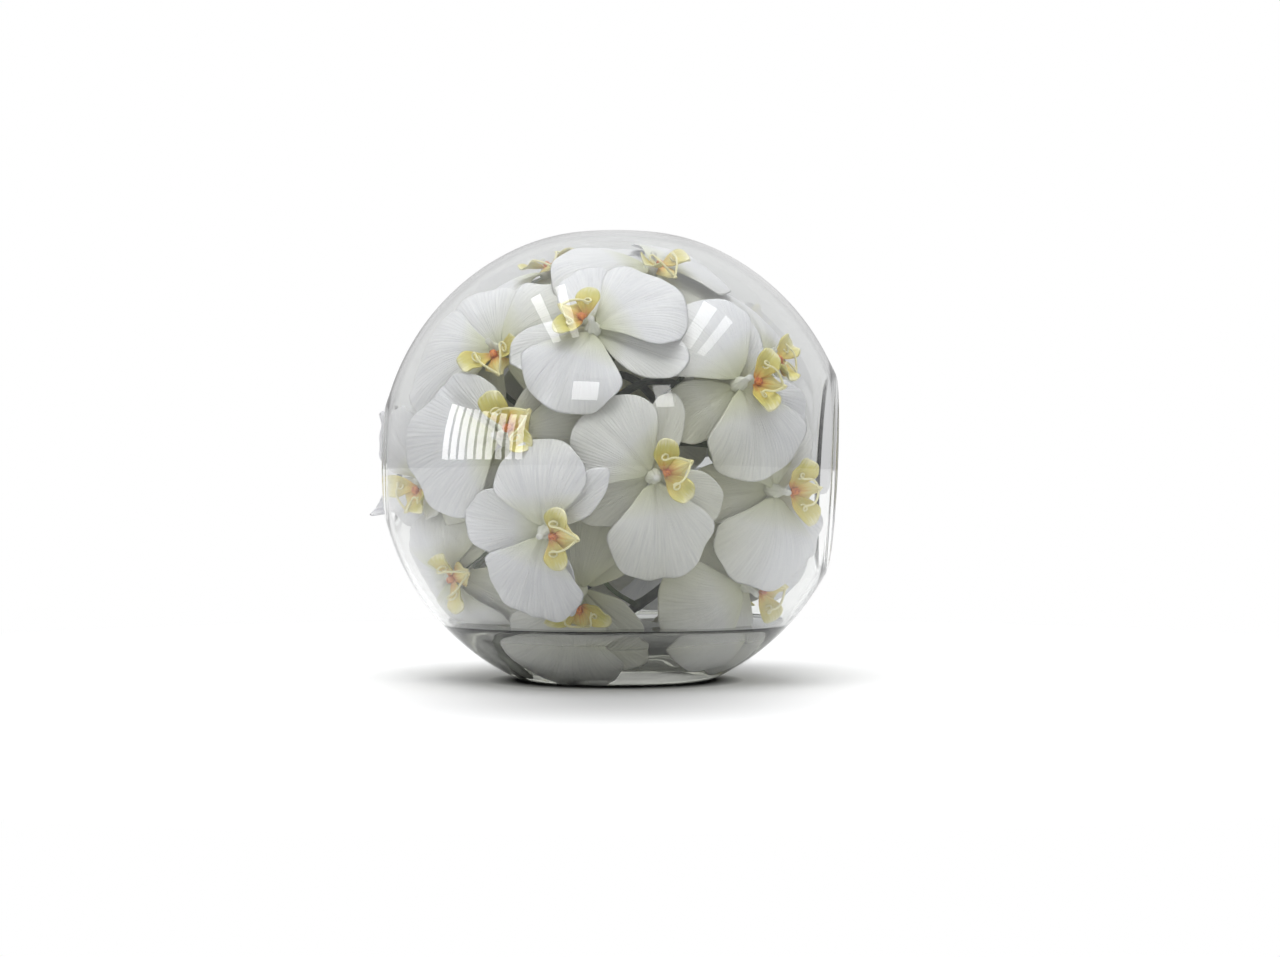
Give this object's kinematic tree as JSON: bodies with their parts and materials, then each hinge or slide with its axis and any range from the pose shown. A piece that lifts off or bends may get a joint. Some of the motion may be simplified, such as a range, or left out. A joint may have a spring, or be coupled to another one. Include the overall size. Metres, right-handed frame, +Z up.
{
  "type": "vase of orchids",
  "caption": "Round glass bowl with side mouths, filled with white orchid blooms on dark stems cast in clear faux water.",
  "frame": {"origin": "centre of the flat base's underside, on the surface the bowl stands on", "axes": "+Z up, the front of the picture faces -Y, the large mouth faces +X and the small one -X"},
  "size_m": [0.2538, 0.26, 0.246],
  "materials": {
    "glass": "clear, smooth, with ground base and mouth rims",
    "faux_water": "clear cast resin, slightly warm",
    "petal": "matt white petal fabric with fine veins",
    "lip": "yellow-olive petal fabric",
    "stem": "dark green-black plastic over wire"
  },
  "bodies": {
    "root": {"glass_bowl": "glass", "faux_water": "faux_water", "stem_left": "stem", "stem_front": "stem", "stem_back": "stem", "petals_01": "petal", "lip_01": "lip", "petals_02": "petal", "lip_02": "lip", "petals_03": "petal", "lip_03": "lip", "petals_04": "petal", "lip_04": "lip", "petals_05": "petal", "lip_05": "lip", "petals_06": "petal", "lip_06": "lip", "petals_07": "petal", "lip_07": "lip", "petals_08": "petal", "lip_08": "lip", "petals_09": "petal", "lip_09": "lip", "petals_10": "petal", "lip_10": "lip", "petals_11": "petal", "lip_11": "lip", "petals_12": "petal", "lip_12": "lip", "petals_13": "petal", "lip_13": "lip", "petals_14": "petal", "lip_14": "lip", "petals_15": "petal", "lip_15": "lip", "petals_16": "petal", "lip_16": "lip", "petals_17": "petal", "lip_17": "lip", "petals_18": "petal", "lip_18": "lip", "petals_19": "petal", "lip_19": "lip", "petals_20": "petal", "lip_20": "lip", "petals_21": "petal", "lip_21": "lip", "petals_22": "petal", "lip_22": "lip", "petals_23": "petal", "lip_23": "lip", "petals_24": "petal", "lip_24": "lip", "petals_25": "petal", "lip_25": "lip", "petals_26": "petal", "lip_26": "lip", "petals_27": "petal", "lip_27": "lip"}
  },
  "joints": []
}
